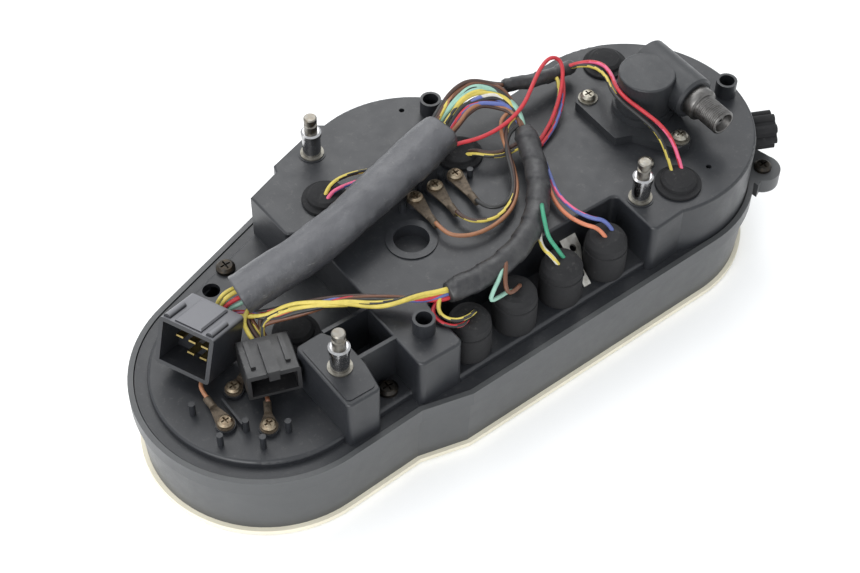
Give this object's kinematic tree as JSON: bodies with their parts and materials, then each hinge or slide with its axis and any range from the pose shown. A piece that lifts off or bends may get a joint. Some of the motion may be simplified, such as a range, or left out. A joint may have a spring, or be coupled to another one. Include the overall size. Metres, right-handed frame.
{
  "type": "motorcycle instrument cluster",
  "caption": "Motorcycle speedometer, tachometer and temperature gauge cluster lying on its lens, with studs, cable gearbox, lamp boots, wiring harness and connectors.",
  "frame": {"origin": "on the lens face, below the middle of the case's outline", "axes": "+X from the temperature gauge to the speedometer, +Y towards the tachometer's far side, +Z from the lens to the mounting studs"},
  "size_m": [0.3298, 0.1576, 0.0944],
  "materials": {
    "case_plastic": "moulded satin black, dusty and scuffed",
    "cover_plastic": "satin black moulding",
    "pale_rim": "yellowed clear-moulded rim",
    "lens": "clear moulded lens",
    "black_rubber": "matt black rubber",
    "mask": "flat black dial surround",
    "indicator": "translucent coloured windows",
    "dial_face": "matt dial with pale markings",
    "pointer": "orange pointer",
    "chrome": "bright plated sleeve",
    "zinc": "dull zinc plate",
    "steel": "turned steel",
    "black_screw": "blackened screw",
    "washer_grey": "grey washer",
    "gearbox_black": "black die casting",
    "union_metal": "dark threaded union",
    "bronze": "sintered bush",
    "aluminium": "pressed aluminium",
    "magnet": "magnet on its spindle",
    "white_plastic": "white inner moulding",
    "drum_plastic": "number drums",
    "board": "resin bonded board",
    "movement_metal": "movement can",
    "brass": "brass",
    "bulb_glass": "small glass bulb",
    "bracket_metal": "pale plated bracket",
    "terminal_tin": "tarnished tinned terminals",
    "terminal_screw": "rusty zinc screws",
    "knob_rubber": "black fluted knob",
    "tape": "black binding tape",
    "vinyl": "wrinkled vinyl sleeve",
    "wire_mixed": "coloured wire insulation",
    "wire_yellow": "yellow and red insulation",
    "wire_lamp": "lamp lead insulation",
    "wire_red": "red insulation",
    "wire_brown": "brown insulation",
    "plug_grey": "grey nylon connector",
    "plug_black": "black nylon connector"
  },
  "bodies": {
    "cluster": {"front_lens": "lens", "lens_rim": "pale_rim", "front_cover": "cover_plastic", "case_gasket": "black_rubber", "rear_case": "case_plastic", "mounting_studs": "steel", "stud_sleeves": "chrome", "stud_washers": "washer_grey", "case_screws": "black_screw", "gearbox_screws": "zinc", "gearbox_washers": "washer_grey", "gearbox_housing": "gearbox_black", "shaft_bush": "bronze", "cable_union": "union_metal", "dial_mask": "mask", "indicator_lenses": "indicator", "gauge_carrier": "white_plastic", "speed_dial": "dial_face", "tach_dial": "dial_face", "temp_dial": "dial_face", "speedometer_frame": "aluminium", "drum_axles": "steel", "tach_movement": "movement_metal", "temp_movement": "movement_metal", "gauge_boards": "board", "terminal_studs": "brass", "tall_lamp_boots": "black_rubber", "flush_lamp_holders": "black_rubber", "bulb_bases": "brass", "lamp_bulbs": "bulb_glass", "metal_bracket": "bracket_metal", "ring_terminals": "terminal_tin", "terminal_screws": "terminal_screw", "harness_loom": "tape", "harness_sleeve": "vinyl", "wire_arch": "wire_mixed", "wire_return": "wire_yellow", "flush_lamp_leads": "wire_lamp", "loop_lead": "wire_red", "tall_lamp_leads": "wire_lamp", "terminal_leads": "wire_brown", "left_connector": "plug_grey", "left_connector_blades": "brass", "right_connector": "plug_black", "connector_leads": "wire_brown"},
    "cable_input": {"driver_gear": "steel", "cable_shaft": "steel"},
    "magnet_drive": {"driven_gear": "steel", "driven_shaft": "steel", "magnet_rotor": "magnet"},
    "speed_pointer": {"speed_needle": "pointer", "speed_cup": "aluminium"},
    "tach_pointer": {"tach_needle": "pointer", "tach_spindle": "steel"},
    "temp_pointer": {"temp_needle": "pointer", "temp_spindle": "steel"},
    "odometer": {"odometer_drums": "drum_plastic"},
    "trip_counter": {"trip_drums": "drum_plastic"},
    "trip_reset": {"trip_knob": "knob_rubber", "trip_shaft": "steel"}
  },
  "joints": [
    {"name": "cable_drive", "type": "hinge", "parent": "cluster", "child": "cable_input", "pos_m": [0.1205, -0.011, 0.084], "axis": [0, -1, 0], "continuous": true},
    {"name": "magnet_spin", "type": "hinge", "parent": "cluster", "child": "magnet_drive", "pos_m": [0.107, -0.011, 0.084], "axis": [0, 0, 1], "continuous": true},
    {"name": "speed_needle_sweep", "type": "hinge", "parent": "cluster", "child": "speed_pointer", "pos_m": [0.107, -0.011, 0.0106], "axis": [0, 0, 1], "range_deg": [0, 240], "stiffness_Nm_per_rad": 0.0005},
    {"name": "tach_needle_sweep", "type": "hinge", "parent": "cluster", "child": "tach_pointer", "pos_m": [-0.004, 0.0178, 0.0106], "axis": [0, 0, 1], "range_deg": [0, 230], "stiffness_Nm_per_rad": 0.0005},
    {"name": "temp_needle_sweep", "type": "hinge", "parent": "cluster", "child": "temp_pointer", "pos_m": [-0.1055, -0.016, 0.0106], "axis": [0, 0, 1], "range_deg": [0, 95], "stiffness_Nm_per_rad": 0.0005},
    {"name": "odometer_turn", "type": "hinge", "parent": "cluster", "child": "odometer", "pos_m": [0.107, 0.01, 0.024], "axis": [1, 0, 0], "continuous": true},
    {"name": "trip_turn", "type": "hinge", "parent": "cluster", "child": "trip_counter", "pos_m": [0.107, -0.032, 0.024], "axis": [1, 0, 0], "continuous": true},
    {"name": "trip_knob_turn", "type": "hinge", "parent": "cluster", "child": "trip_reset", "pos_m": [0.15161, -0.03977, 0.053], "axis": [0.9063, -0.4226, 0], "continuous": true}
  ],
  "couplings": [
    {"joint": "magnet_spin", "follows": "cable_drive", "ratio": 1},
    {"joint": "odometer_turn", "follows": "cable_drive", "ratio": 0.02},
    {"joint": "trip_turn", "follows": "trip_knob_turn", "ratio": 1}
  ]
}
